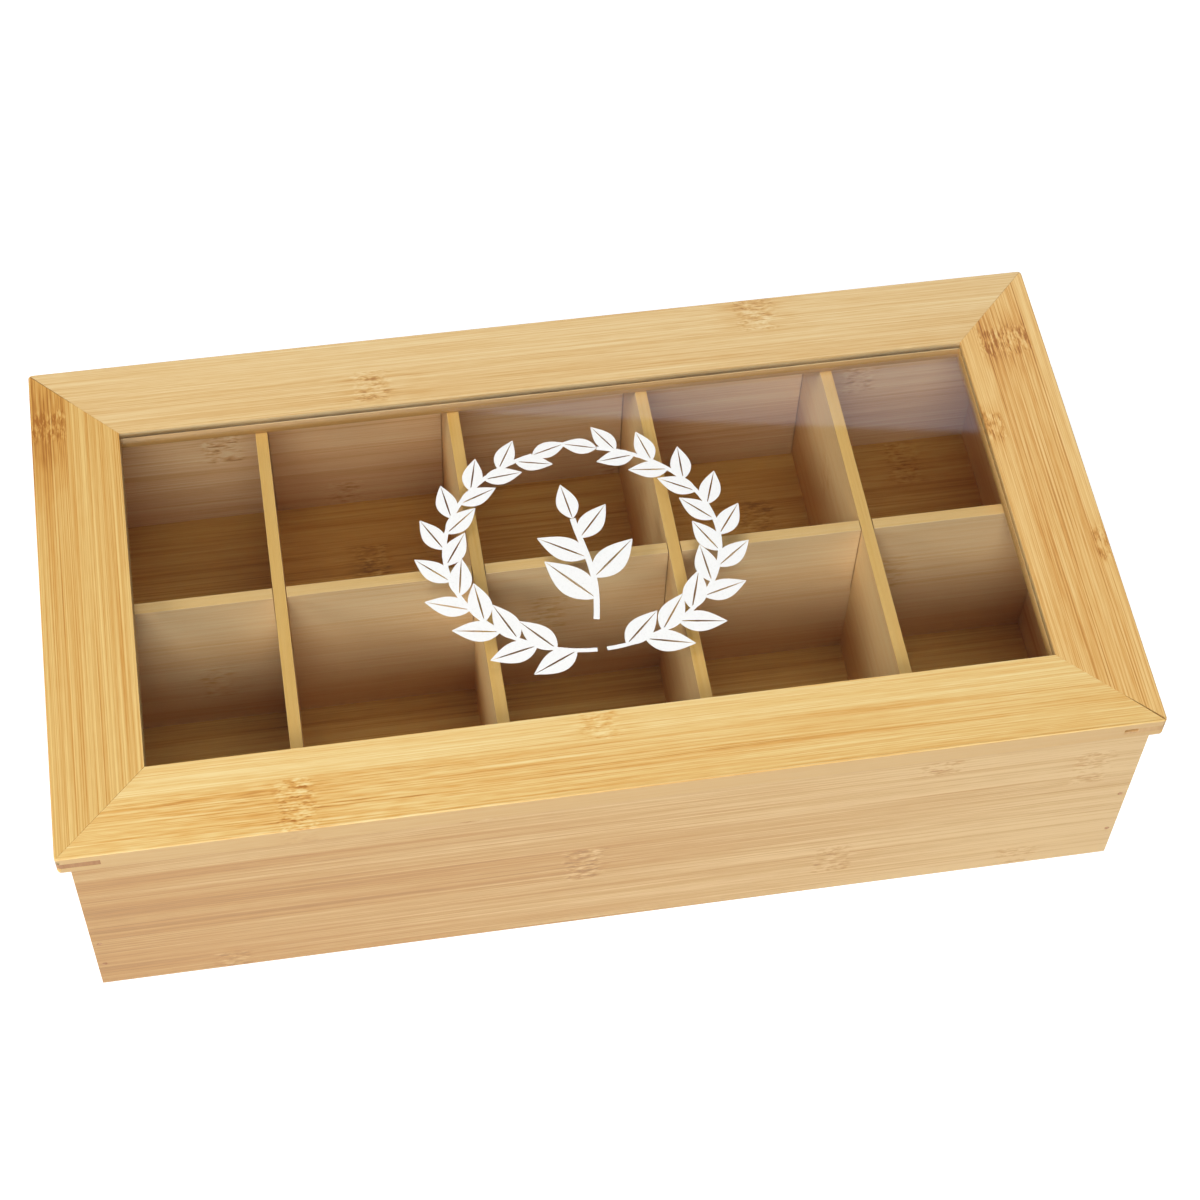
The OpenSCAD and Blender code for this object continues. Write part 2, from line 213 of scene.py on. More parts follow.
    # sawn ends drink the lacquer, and a board's narrow side shows the strips' edges
    facing = addNode(tree, "ShaderNodeSeparateXYZ", None, {0: coords.outputs["Normal"]})
    color = ramp.outputs[0]
    for axis, (tint, most) in ((look["grain"], look["ends"]), (look["across"], look["edges"])):
        turn = addNode(tree, "ShaderNodeMath", "ABSOLUTE", {0: facing.outputs[axis]})
        color = tinted(tree, turn, look["turned"], most, color, tint)[0]

    # dark fibres are open pores: rougher, and a little lower than the wood between them
    rough = addNode(tree, "ShaderNodeMath", "MULTIPLY_ADD", {
        0: fibres[2], 1: look["fibreRoughness"], 2: look["roughness"]})
    height = addNode(tree, "ShaderNodeMath", "ADD", {0: fibres[2], 1: fibres[4]})
    height = addNode(tree, "ShaderNodeMath", "ADD", {0: height, 1: torn})
    finishSurface(tree, look, height, {"Base Color": color, "Roughness": rough, "IOR": look["ior"]}, True)
    return material


honeyTones = {"light": "#F0D698", "base": "#E7C27A", "streak": "#DCA656", "deep": "#B07028"}
paleTones = {"light": "#ECD4A2", "base": "#E2C188", "streak": "#D4A765", "deep": "#A8733A"}
amberTones = {"light": "#F0CD8C", "base": "#E5B970", "streak": "#D49A4C", "deep": "#A3641F"}
deepAmberTones = {"light": "#E8C67E", "base": "#DAAF65", "streak": "#CD9545", "deep": "#A4651C"}
tanTones = {"light": "#DBBA86", "base": "#D0A971", "streak": "#C2955E", "deep": "#94663A"}
innerTones = {"light": "#F8E0B2", "base": "#F2D1A1", "streak": "#E6BB80", "deep": "#B8874E"}
crossTones = {"light": "#F5D9A0", "base": "#EFC88E", "streak": "#E1B06D", "deep": "#B38044"}
backTones = {"light": "#F4D8AB", "base": "#ECC697", "streak": "#DDB07B", "deep": "#AD7E4E"}
floorTones = {"light": "#E8BE6C", "base": "#DBA853", "streak": "#C68F3B", "deep": "#926425"}
# painted shade: darker tones for the rails' lip under the pane, where the pane and the rail above shade it
shadedLipTones = {"light": "#C99F63", "base": "#BC8E52", "streak": "#A97A3F", "deep": "#84592A"}
keyTones = {"light": "#C3935F", "base": "#B38150", "streak": "#A47041", "deep": "#855830"}
lightKeyTones = {"light": "#DDB880", "base": "#CDA269", "streak": "#B98A4E", "deep": "#8F6230"}

meshCare = {
    "weld": 0.002, "samePlane": 0.003, "sameLine": 0.01,  # mm, within which points count as together
    "flat": 0.3, "corner": 40.0, "crease": 38.0,  # degrees: merged below, rounded above, sharp above
}


def newObject(name, data):
    # an object at the origin, linked into the scene
    thing = bpy.data.objects.new(name, data)
    bpy.context.scene.collection.objects.link(thing)
    return thing


def toObject(shape, name):
    # makes an object of a bmesh and frees the bmesh
    mesh = bpy.data.meshes.new(name)
    shape.to_mesh(mesh)
    shape.free()
    return newObject(name, mesh)


def evaluatedMesh(piece):
    graph = bpy.context.evaluated_depsgraph_get()
    return bpy.data.meshes.new_from_object(piece.evaluated_get(graph))


def settle(piece):
    # turns the piece's modifiers into plain mesh
    finished = evaluatedMesh(piece)
    piece.modifiers.clear()
    piece.data = finished


def joined(shapes, name):
    # one object from several, which are removed
    whole = bmesh.new()
    for shape in shapes:
        whole.from_mesh(shape.data)
        bpy.data.objects.remove(shape)
    return toObject(whole, name)


def weldedCopy(node):
    # a CAD solid's triangles merged into whole flat faces again
    shape = bmesh.new()
    shape.from_mesh(cadNodes[node].data)
    bmesh.ops.remove_doubles(shape, verts=shape.verts, dist=meshCare["weld"] * mm)
    bmesh.ops.dissolve_limit(
        shape, angle_limit=math.radians(meshCare["flat"]), verts=shape.verts, edges=shape.edges)
    return shape


def shadeByAngle(piece):
    piece.data.shade_smooth()
    piece.data.set_sharp_from_angle(angle=math.radians(meshCare["crease"]))
    even = piece.modifiers.new("even normals", "WEIGHTED_NORMAL")
    even.keep_sharp = True
    settle(piece)


def recoat(piece, material):
    piece.data.materials.clear()
    piece.data.materials.append(material)


def dress(piece, material, body, nodes=()):
    # gives the piece its finish, the body it rides on and the CAD nodes it stands for
    recoat(piece, material)
    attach(piece, body)
    if nodes:
        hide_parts(*nodes)


def cutAway(shape, cutters):
    # the shape without what the cutters take from it
    piece = toObject(shape, "uncut")
    for cutter in cutters:
        cut = piece.modifiers.new("cut", "BOOLEAN")
        cut.operation, cut.solver, cut.object = "DIFFERENCE", "EXACT", cutter
    settle(piece)
    rest = bmesh.new()
    rest.from_mesh(piece.data)
    bpy.data.objects.remove(piece)
    return rest


def roundedPiece(shape, name, widths, segments=3):
    # rounds the edges that widths(edge) gives a width in mm
    layer = shape.edges.layers.float.new("bevel_weight_edge")
    most = 0.01  # never zero, as the widths are divided by it
    for edge in shape.edges:
        edge[layer] = 0.0
        if len(edge.link_faces) == 2 and edge.calc_face_angle_signed(0.0) > math.radians(meshCare["corner"]):
            edge[layer] = widths(edge)
            most = max(most, edge[layer])
    for edge in shape.edges:
        edge[layer] /= most
    piece = toObject(shape, name)
    rounding = piece.modifiers.new("rounded edges", "BEVEL")
    rounding.limit_method = "WEIGHT"
    rounding.width = most * mm
    rounding.segments = segments
    rounding.use_clamp_overlap = False
    settle(piece)
    shadeByAngle(piece)
    return piece


def blockEdges(low, high, rules):
    # widths for the edges on a board's outer planes: rules is a list of
    # ({plane letter: "low" or "high"}, width in mm)
    planes = [dict(zip("XYZ", corner)) for corner in (low, high)]

    def width(edge):
        for sides, value in rules:
            if all(abs(v.co["XYZ".index(axis)] - planes[side == "high"][axis]) < meshCare["samePlane"] * mm
                   for v in edge.verts for axis, side in sides.items()):
                return value
        return 0.0
    return width


def prism(name, outline, low, high):
    # a closed prism over a flat outline of (x, y) points between two heights, all in mm
    shape = bmesh.new()
    rings = [[shape.verts.new((x * mm, y * mm, z * mm)) for x, y in outline] for z in (low, high)]
    shape.faces.new(rings[0])
    shape.faces.new(rings[1])
    for i in range(len(outline)):
        j = (i + 1) % len(outline)
        shape.faces.new((rings[0][i], rings[0][j], rings[1][j], rings[1][i]))
    bmesh.ops.recalc_face_normals(shape, faces=shape.faces)
    return toObject(shape, name)


lidShape = {
    "halfWidth": 180.0, "halfDepth": 97.5, "cornerRadius": 1.5, "top": 90.0, "bottom": 81.5,  # mm
    "windowHalfWidth": 150.0, "windowHalfDepth": 67.5,  # mm
    "paneTop": 86.7, "paneSlack": 0.04,  # mm, the groove stands a little open above the pane
    "paneBottom": 84.7, "lipRise": 1.45,  # mm, the acrylic bends light so that the lip looks higher
    "lipReach": 0.5, "lipFacing": 0.9,  # mm, and how squarely the lip's face looks into the window
    "rimRound": 0.6, "underRound": 0.5, "windowRound": 0.45, "mitreRound": 0.06,  # mm
    # mitres that have opened a little: from, to, the width at each, and the depth, all in mm
    "openMitres": [((168.6, -86.1), (180.6, -98.1), 0.12, 0.75, 3.0),
                   ((-165.0, 82.5), (-180.6, 98.1), 0.10, 0.26, 2.0)],
}


def onRim(v):
    # whether a point is on the lid's outer upright faces
    r, near = lidShape["cornerRadius"], meshCare["sameLine"]
    dx = abs(v.co.x) / mm - (lidShape["halfWidth"] - r)
    dy = abs(v.co.y) / mm - (lidShape["halfDepth"] - r)
    if dx > 0 and dy > 0:
        return abs(math.hypot(dx, dy) - r) < near
    return abs(dx - r) < near or abs(dy - r) < near


def railWidths(edge):
    points = [(abs(v.co.x / mm), abs(v.co.y / mm), v.co.z / mm) for v in edge.verts]
    atTop, atBottom = (all(abs(z - lidShape[level]) < meshCare["samePlane"] for x, y, z in points)
                       for level in ("top", "bottom"))
    atRim = all(onRim(v) for v in edge.verts)
    near = meshCare["sameLine"]
    mitre = lidShape["halfWidth"] - lidShape["halfDepth"]
    onMitre = all(abs(x - y - mitre) < near for x, y, z in points)
    atWindow = (all(abs(x - lidShape["windowHalfWidth"]) < near for x, y, z in points)
                or all(abs(y - lidShape["windowHalfDepth"]) < near for x, y, z in points))
    if atTop and atRim:
        return lidShape["rimRound"]
    if atBottom and atRim:
        return lidShape["underRound"]
    if atTop and onMitre:
        return lidShape["mitreRound"]
    if atTop and atWindow:
        return lidShape["windowRound"]
    return 0.0


# each mark: its place along the grain, from and to across it in mm, strength, reach of the
# disturbed fibres in mm, and reach in mm and amount of toasting
flatAlongX = {"grain": "X", "across": "Y", "depth": "Z"}
flatAlongY = {"grain": "Y", "across": "X", "depth": "Z"}
railSpecs = {
    "lid_front_rail": {
        **flatAlongX, **honeyTones, "stripWidth": 19.5, "stripEdge": -78.0, "seed": 4.0,
        "edges": ("#D0AB75", 0.8),
        "marks": [(-103.3, -98.0, -78.5, 1.0, 130.0, 26.0, 0.05),
                  (-3.8, -78.0, -67.0, 0.7, 24.0, 20.0, 0.04)]},
    "lid_back_rail": {
        **flatAlongX, **paleTones, "stripWidth": 15.0, "stripEdge": 83.0, "seed": 11.0,
        "layers": [(300.0, 7.0, 0.22), (160.0, 2.2, 0.18), (90.0, 0.7, 0.40), (50.0, 0.32, 0.52),
                   (9.0, 0.45, 0.24)],
        "marks": [(-61.7, 69.5, 83.0, 0.8, 30.0, 12.0, 0.05), (79.0, 83.0, 98.0, 0.9, 40.0, 22.0, 0.08)]},
    "lid_left_rail": {
        **flatAlongY, **deepAmberTones, "stripWidth": 18.0, "stripEdge": -168.0, "seed": 23.0, "darkenAlong": 0.05,
        "layers": [(300.0, 6.0, 0.28), (200.0, 1.6, 0.28), (160.0, 0.62, 0.85), (90.0, 0.34, 0.80),
                   (9.0, 0.45, 0.24)],
        "marks": [(74.0, -181.0, -168.0, 1.0, 34.0, 46.0, 0.28)]},
    "lid_right_rail": {
        **flatAlongY, **amberTones, "stripWidth": 18.4, "stripEdge": 156.6, "seed": 37.0,
        "layers": [(300.0, 6.0, 0.26), (160.0, 1.8, 0.22), (90.0, 0.62, 0.70), (50.0, 0.34, 0.78),
                   (9.0, 0.45, 0.28)],
        "marks": [(66.0, 156.6, 175.0, 1.0, 26.0, 20.0, 0.14), (28.5, 149.0, 156.6, 1.0, 16.0, 14.0, 0.16),
                  (-25.7, 175.0, 181.0, 0.9, 16.0, 10.0, 0.12)]},
}
# the lip under the pane: darker tones and a darker narrow-side tint, all painted shade from the pane and the
# rail above
shadedLipSpec = {**shadedLipTones, "edges": ("#B78A4E", 0.4), "seed": 59.0, "marks": []}
wedges = []
for (x0, y0), (x1, y1), narrow, wide, deep in lidShape["openMitres"]:
    way = Vector((x1 - x0, y1 - y0)).normalized()
    side = Vector((-way.y, way.x)) / 2
    outline = [(x + side.x * width, y + side.y * width) for x, y, width in (
        (x0, y0, -narrow), (x1, y1, -wide), (x1, y1, wide), (x0, y0, narrow))]
    wedges.append(prism("mitreWedge", outline, lidShape["top"] - deep, lidShape["top"] + 1))
for node, spec in railSpecs.items():
    shape = weldedCopy(node)
    for v in shape.verts:  # the groove's upper and lower faces
        if abs(v.co.z / mm - lidShape["paneTop"]) < meshCare["samePlane"]:
            v.co.z += lidShape["paneSlack"] * mm
        elif abs(v.co.z / mm - lidShape["paneBottom"]) < meshCare["samePlane"]:
            v.co.z += lidShape["lipRise"] * mm
    side = node.split("_")[1]
    rail = roundedPiece(cutAway(shape, wedges), side + "Rail", railWidths, 4)
    dress(rail, bamboo("lacqueredBamboo" + side.title() + "Rail", spec), "lid", [node])
    rail.data.materials.append(bamboo("paintedShadeBamboo" + side.title() + "Lip", {**spec, **shadedLipSpec}))
    axis = "XYZ".index(spec["across"])
    window = (lidShape["windowHalfWidth"], lidShape["windowHalfDepth"])[axis]
    for face in rail.data.polygons:  # the face under the pane gets the darker lip wood, which is painted shade where the pane and the rail above shade it
        if (abs(face.normal[axis]) > lidShape["lipFacing"] and face.center.z / mm < lidShape["paneTop"]
                and abs(face.center[axis]) / mm < window + lidShape["lipReach"]):
            face.material_index = 1
for wedge in wedges:
    bpy.data.objects.remove(wedge)
print("lid rails made")

# a key is a slip of bamboo across a mitre, glued in its slot and sanded flush
keyShape = {
    "round": 0.12,  # mm
    # the front right key ends in a lower step: the step's outline and heights in mm
    "stepOutline": [(164.0, -99.0), (170.6, -99.0), (170.6, -94.5), (164.0, -94.5)],
    "stepFrom": 85.55, "stepTo": 88.0,
}
keySpec = {"grain": "Z", "across": "X", "depth": "Y", "seed": 41.0, "marks": [], **keyTones,
           "ends": ("#B38150", 0.0),
           "layers": [(60.0, 12.0, 0.4), (30.0, 5.0, 0.3), (8.0, 1.2, 0.2), (5.0, 0.8, 0.2), (3.0, 0.6, 0.2)]}
keyWood = bamboo("sandedBambooKey", keySpec)
lightKeyWood = bamboo("sandedBambooLightKey", {**keySpec, **lightKeyTones, "seed": 47.0})
keyStep = prism("keyStep", keyShape["stepOutline"], keyShape["stepFrom"], keyShape["stepTo"])
for corner in ("front_left", "front_right", "back_left", "back_right"):
    node = "lid_key_" + corner
    name = "key" + corner.title().replace("_", "")
    shape = weldedCopy(node)
    if corner == "front_right":
        shape = cutAway(shape, [keyStep])
    key = roundedPiece(shape, name, lambda edge: keyShape["round"], 2)
    dress(key, lightKeyWood if corner == "front_right" else keyWood, "lid", [node])
bpy.data.objects.remove(keyStep)
print("mitre keys made")

# the slots that the dividers stand in: half their width, how far each side shows as a dark
# line, and how near a point must be to count as on a slot's side, all in mm
slotShape = {"half": 2.15, "slack": 0.22, "near": 0.02}


def easeSlots(shape, axis, centres):
    # opens the slots a hair on each side, so that each joint draws its thin dark line
    for v in shape.verts:
        for centre in centres:
            off = v.co[axis] / mm - centre
            if abs(abs(off) - slotShape["half"]) < slotShape["near"]:
                v.co[axis] += math.copysign(slotShape["slack"], off) * mm


crossNodes = ["cross_divider_%d" % number for number in range(1, 5)]
crossCentres = [(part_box(node)[0][0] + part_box(node)[1][0]) / 2 / mm for node in crossNodes]
longCentre = (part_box("long_divider")[0][1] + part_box("long_divider")[1][1]) / 2 / mm
wallRound = {"outer": 0.7, "top": 0.35, "joint": 0.18}  # mm
standingAlongX = {"grain": "X", "across": "Z", "depth": "Y"}
standingAlongY = {"grain": "Y", "across": "Z", "depth": "X"}
wallLook = {
    "blotch": (24.0, 1.8, 0.5), "fleck": (4.6, 1.2, 2.0), "stripWidth": 20.0, "roughness": 0.5,
    "layers": [(340.0, 9.0, 0.50), (200.0, 3.0, 0.34), (120.0, 0.9, 0.42), (70.0, 0.4, 0.62),
               (9.0, 0.5, 0.22)]}
wallSpecs = {
    "front_wall": {
        **wallLook, **tanTones, **standingAlongX, "stripWidth": 20.7, "stripEdge": 10.6, "seed": 53.0,
        # painted light: a negative value here draws the front wall lighter towards its right end, where more
        # light falls
        "darkenAlong": -0.11, "light": "#E1C08B", "streak": "#C6965D", "deep": "#B08452",
        "layers": [(340.0, 9.0, 0.46), (220.0, 3.0, 0.36), (150.0, 1.0, 0.52), (80.0, 0.36, 0.95),
                   (9.0, 0.4, 0.30)],
        "marks": [(-130.9, 0.0, 11.0, 0.7, 18.0, 9.0, 0.03), (142.7, 0.0, 12.0, 0.7, 18.0, 9.0, 0.03),
                  (75.0, 13.0, 31.0, 0.7, 20.0, 10.0, 0.03), (-11.4, 31.0, 51.0, 0.9, 24.0, 14.0, 0.04),
                  (159.5, 53.0, 73.0, 0.7, 20.0, 12.0, 0.03), (106.4, 71.0, 79.0, 0.8, 16.0, 8.0, 0.03),
                  (-46.3, 79.5, 82.0, 0.7, 10.0, 4.0, 0.03)]},
    "back_wall": {
        **wallLook, **backTones, **standingAlongX, "stripEdge": 62.0, "seed": 67.0,
        "marks": [(-116.2, 42.0, 62.0, 0.9, 24.0, 12.0, 0.05), (-73.3, 2.0, 22.0, 0.6, 20.0, 10.0, 0.04),
                  (28.6, 2.0, 22.0, 0.6, 20.0, 10.0, 0.04), (121.0, 42.0, 62.0, 0.7, 22.0, 10.0, 0.04)]},
    "left_wall": {
        **wallLook, **backTones, **standingAlongY, "stripEdge": 16.0, "seed": 71.0,
        "marks": [(-38.0, 36.0, 56.0, 0.8, 22.0, 12.0, 0.05), (52.0, 16.0, 36.0, 0.7, 20.0, 10.0, 0.03)]},
    "right_wall": {
        **wallLook, **backTones, **standingAlongY, "stripEdge": 9.0, "seed": 83.0,
        "marks": [(21.0, 49.0, 69.0, 0.8, 22.0, 12.0, 0.05), (-60.0, 9.0, 29.0, 0.7, 20.0, 10.0, 0.03)]},
}
for node, spec in wallSpecs.items():
    low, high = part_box(node)
    side = node.split("_")[0]
    face = "Y" if side in ("front", "back") else "X"
    outer, inner = ("low", "high") if side in ("front", "left") else ("high", "low")
    rules = [({"Z": "high", face: outer}, wallRound["top"]), ({"Z": "high", face: inner}, wallRound["top"]),
             ({"Z": "low", face: outer}, wallRound["outer"]), ({"Z": "low", face: inner}, wallRound["top"])]
    for tip in ("low", "high"):
        if face == "Y":
            rules += [({"X": tip, "Y": outer}, wallRound["outer"]),
                      ({"X": tip, "Y": inner}, wallRound["joint"]),
                      ({"X": tip, "Z": "high"}, wallRound["top"]), ({"X": tip, "Z": "low"}, wallRound["top"])]
        else:
            rules += [({"Y": tip, "X": outer}, wallRound["joint"])]
    shape = weldedCopy(node)
    easeSlots(shape, *((0, crossCentres) if face == "Y" else (1, [longCentre])))
    wall = roundedPiece(shape, side + "Wall", blockEdges(low, high, rules))
    dress(wall, bamboo("lacqueredBamboo" + side.title() + "Wall", spec), "box", [node])
print("box walls made")


def newTree(name, **sockets):
    # a geometry node tree with named inputs of each kind, and the sockets that bring them in
    tree = bpy.data.node_groups.new(name, "GeometryNodeTree")
    for kind, labels in {"Geometry": ["Geometry"], **sockets, "Material": ["Material"]}.items():
        for label in labels:
            tree.interface.new_socket(label, in_out="INPUT", socket_type="NodeSocket" + kind)
    tree.interface.new_socket("Geometry", in_out="OUTPUT", socket_type="NodeSocketGeometry")
    return tree, addNode(tree, "NodeGroupInput").outputs


def finishTree(tree, given, geometry):
    # makes what is repeated real, gives it its material and sends it out
    real = addNode(tree, "GeometryNodeRealizeInstances", None, {0: geometry})
    finished = addNode(tree, "GeometryNodeSetMaterial", None, {
        "Geometry": real, "Material": given["Material"]})
    addNode(tree, "NodeGroupOutput", None, {0: finished})


def lowered(tree, part, depth, share):
    # the part moved along Z by a share of a depth
    shift = addNode(tree, "ShaderNodeMath", "MULTIPLY", {0: depth, 1: share})
    shift = addNode(tree, "ShaderNodeCombineXYZ", None, {2: shift})
    return addNode(tree, "GeometryNodeTransform", None, {"Geometry": part, "Translation": shift})


def setInputs(piece, tree, values):
    # runs a tree on the piece with these inputs, each set by its socket's identifier
    modifier = piece.modifiers.new(tree.name, "NODES")
    modifier.node_group = tree
    for item in tree.interface.items_tree:
        if item.item_type == "SOCKET" and item.in_out == "INPUT" and item.name in values:
            modifier[item.identifier] = values[item.name]


def pointsPiece(name, places):
    # an object with only a point at each place, in metres
    mesh = bpy.data.meshes.new(name)
    mesh.from_pydata([tuple(place) for place in places], [], [])
    return newObject(name, mesh)


dividerRound = {"top": 0.15}  # mm
dividerLook = {
    **innerTones, "edges": ("#F5BF5E", 0.45), "stripWidth": 19.0,
    "layers": [(300.0, 7.0, 0.25), (170.0, 2.4, 0.20), (90.0, 0.9, 0.28), (60.0, 0.42, 0.40),
               (9.0, 0.5, 0.14)]}
longSpec = {
    **dividerLook, **standingAlongX, "stripEdge": 62.0, "seed": 91.0,
    "marks": [(-126.1, 24.0, 43.0, 0.7, 20.0, 9.0, 0.04), (-9.0, 43.0, 62.0, 0.6, 18.0, 9.0, 0.04),
              (111.0, 43.0, 62.0, 0.6, 18.0, 9.0, 0.04)]}
crossSpec = {
    **dividerLook, **crossTones, **standingAlongY, "stripEdge": 60.0, "seed": 97.0,
    "edges": ("#F5BD52", 0.55),
    "marks": [(44.0, 41.0, 60.0, 0.6, 18.0, 9.0, 0.04), (-52.0, 22.0, 41.0, 0.6, 18.0, 9.0, 0.04)]}
low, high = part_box("long_divider")
rules = [({"Z": "high", "Y": side}, dividerRound["top"]) for side in ("low", "high")]
shape = weldedCopy("long_divider")
easeSlots(shape, 0, crossCentres)
longDivider = roundedPiece(shape, "longDivider", blockEdges(low, high, rules))
dress(longDivider, bamboo("lacqueredBambooLongDivider", longSpec), "box", ["long_divider"])

# the cross dividers are one board, repeated at a steady pitch
tree, given = newTree("dividerRow", Int=["Count"], Float=["Pitch"])
step = addNode(tree, "ShaderNodeCombineXYZ", None, {0: given["Pitch"]})
row = addNode(tree, "GeometryNodeMeshLine", None, {"Count": given["Count"], "Offset": step})
boards = addNode(tree, "GeometryNodeInstanceOnPoints", None, {"Points": row, "Instance": given["Geometry"]})
finishTree(tree, given, boards)

crossWood = bamboo("lacqueredBambooCrossDividers", crossSpec)
low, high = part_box(crossNodes[0])
rules = [({"Z": "high", "X": side}, dividerRound["top"]) for side in ("low", "high")]
crossDividers = roundedPiece(weldedCopy(crossNodes[0]), "crossDividers", blockEdges(low, high, rules))
pitch = (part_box(crossNodes[-1])[0][0] - low[0]) / (len(crossNodes) - 1)
setInputs(crossDividers, tree, {"Count": len(crossNodes), "Pitch": pitch, "Material": crossWood})
settle(crossDividers)
dress(crossDividers, crossWood, "box", crossNodes)
print("dividers made")

floorSpec = {
    **flatAlongX, **floorTones, "stripWidth": 20.0, "stripEdge": 6.0, "seed": 103.0,
    "layers": [(260.0, 6.0, 0.35), (150.0, 2.0, 0.40), (90.0, 0.9, 0.50), (60.0, 0.5, 0.50),
               (9.0, 0.6, 0.20)],
    "marks": [(-66.1, 46.0, 66.0, 0.8, 30.0, 12.0, 0.08), (-112.0, -74.0, -54.0, 0.7, 30.0, 12.0, 0.08),
              (80.0, 46.0, 66.0, 0.8, 30.0, 12.0, 0.08), (88.0, -54.0, -34.0, 0.7, 30.0, 12.0, 0.08),
              (141.4, 66.0, 86.0, 0.8, 34.0, 14.0, 0.10)]}
recoat(cadNodes["floor_panel"], bamboo("lacqueredBambooFloor", floorSpec))
print("floor panel finished")

metalLook = {
    "brass": {"color": "#D8B572", "tarnish": "#B58E50", "roughness": 0.30, "metallic": 1.0},
    "steel": {"color": "#CDA075", "tarnish": "#A26C44", "roughness": 0.50, "metallic": 0.35},
    "patch": 1.4, "scratch": (6.0, 0.12),  # mm: tarnished patches, and length and width of scratches
    "tarnished": (0.38, 0.68),  # the cloudiness at which tarnish starts and is full
    "scratchRoughness": 0.24, "tarnishRoughness": 0.15,
    "bumpHeight": 0.02, "bumpStrength": 0.3,  # mm, and the share of it that shows
}


def wornMetal(name, look):
    # thin plated or bare metal, tumbled and handled: a broken satin shine, duller in patches
    material, tree = newMaterial(name)
    coords = addNode(tree, "ShaderNodeTexCoord").outputs["Object"]
    cloudy = addNode(tree, "ShaderNodeTexNoise", None, {
        "Vector": coords, "Scale": 1 / (metalLook["patch"] * mm), "Detail": 2.0})
    drawn = stretchedNoise(tree, coords, *(size * mm for size in metalLook["scratch"]), 1.0)
    color, share = tinted(tree, cloudy, metalLook["tarnished"], 1.0, toLinear(look["color"]), look["tarnish"])
    spread = metalLook["scratchRoughness"]
    rough = addNode(tree, "ShaderNodeMath", "MULTIPLY_ADD", {
        0: drawn, 1: spread, 2: look["roughness"] - spread / 2})
    rough = addNode(tree, "ShaderNodeMath", "MULTIPLY_ADD", {
        0: share, 1: metalLook["tarnishRoughness"], 2: rough})
    finishSurface(tree, metalLook, drawn, {
        "Base Color": color, "Metallic": look["metallic"], "Roughness": rough})
    return material


brass = wornMetal("tumbledBrassPlate", metalLook["brass"])
hingeShape = {"leafRound": 0.12, "pinRound": 0.25}  # mm
for side in ("left", "right"):
    for body in ("box", "lid"):
        node = "%s_leaf_%s" % (body, side)
        leaf = roundedPiece(
            weldedCopy(node), body + "Leaf" + side.title(), lambda edge: hingeShape["leafRound"], 2)
        dress(leaf, brass, body, [node])
    node = "hinge_pin_" + side
    pin = roundedPiece(weldedCopy(node), "hingePin" + side.title(), lambda edge: hingeShape["pinRound"], 3)
    dress(pin, brass, "box", [node])
print("hinges made")

# countersunk screws with a cross recess, one at each point, its head's rim at the point
screwShape = {"Head Diameter": 3.6, "Shank Diameter": 2.0, "Recess Width": 0.5, "Recess Depth": 0.5}  # mm
# the sides of the round parts, and how much of the head's width the recess takes
screwMake = {"headSteps": 32, "shankSteps": 24, "recessReach": 0.6}
tree, given = newTree("countersunkScrews", Float=[
    "Head Diameter", "Shank Diameter", "Length", "Recess Width", "Recess Depth"], Vector=["Turn"])
headRadius, shankRadius = (addNode(tree, "ShaderNodeMath", "MULTIPLY", {0: given[label], 1: 0.5})
                           for label in ("Head Diameter", "Shank Diameter"))
headDepth = addNode(tree, "ShaderNodeMath", "SUBTRACT", {0: headRadius, 1: shankRadius})
head = addNode(tree, "GeometryNodeMeshCone", None, {
    "Vertices": screwMake["headSteps"], "Radius Top": headRadius, "Radius Bottom": shankRadius,
    "Depth": headDepth})
head = lowered(tree, head, headDepth, -1.0)
barLength = addNode(tree, "ShaderNodeMath", "MULTIPLY", {
    0: given["Head Diameter"], 1: screwMake["recessReach"]})
barDepth = addNode(tree, "ShaderNodeMath", "MULTIPLY", {0: given["Recess Depth"], 1: 2.0})
barSize = addNode(tree, "ShaderNodeCombineXYZ", None, {0: barLength, 1: given["Recess Width"], 2: barDepth})
bar = addNode(tree, "GeometryNodeMeshCube", None, {"Size": barSize})
crossBar = addNode(tree, "GeometryNodeTransform", None, {
    "Geometry": bar, "Rotation": (0.0, 0.0, math.pi / 2)})
cutHead = addNode(tree, "GeometryNodeMeshBoolean", "DIFFERENCE", {0: head, 1: [bar, crossBar]})
bodyLength = addNode(tree, "ShaderNodeMath", "SUBTRACT", {
    0: given["Length"], 1: given["Shank Diameter"]})
shankLength, shankMiddle = (addNode(tree, "ShaderNodeMath", kind, {0: bodyLength, 1: headDepth})
                            for kind in ("SUBTRACT", "ADD"))
shank = addNode(tree, "GeometryNodeMeshCylinder", None, {
    "Vertices": screwMake["shankSteps"], "Radius": shankRadius, "Depth": shankLength})
shank = lowered(tree, shank, shankMiddle, -0.5)
tip = addNode(tree, "GeometryNodeMeshCone", None, {
    "Vertices": screwMake["shankSteps"], "Radius Top": shankRadius, "Radius Bottom": 0.0,
    "Depth": given["Shank Diameter"]})
tip = lowered(tree, tip, given["Length"], -1.0)
screw = addNode(tree, "GeometryNodeJoinGeometry", None, {0: [tip, shank, cutHead]})
placed = addNode(tree, "GeometryNodeInstanceOnPoints", None, {
    "Points": given["Geometry"], "Instance": screw, "Rotation": given["Turn"]})
finishTree(tree, given, placed)

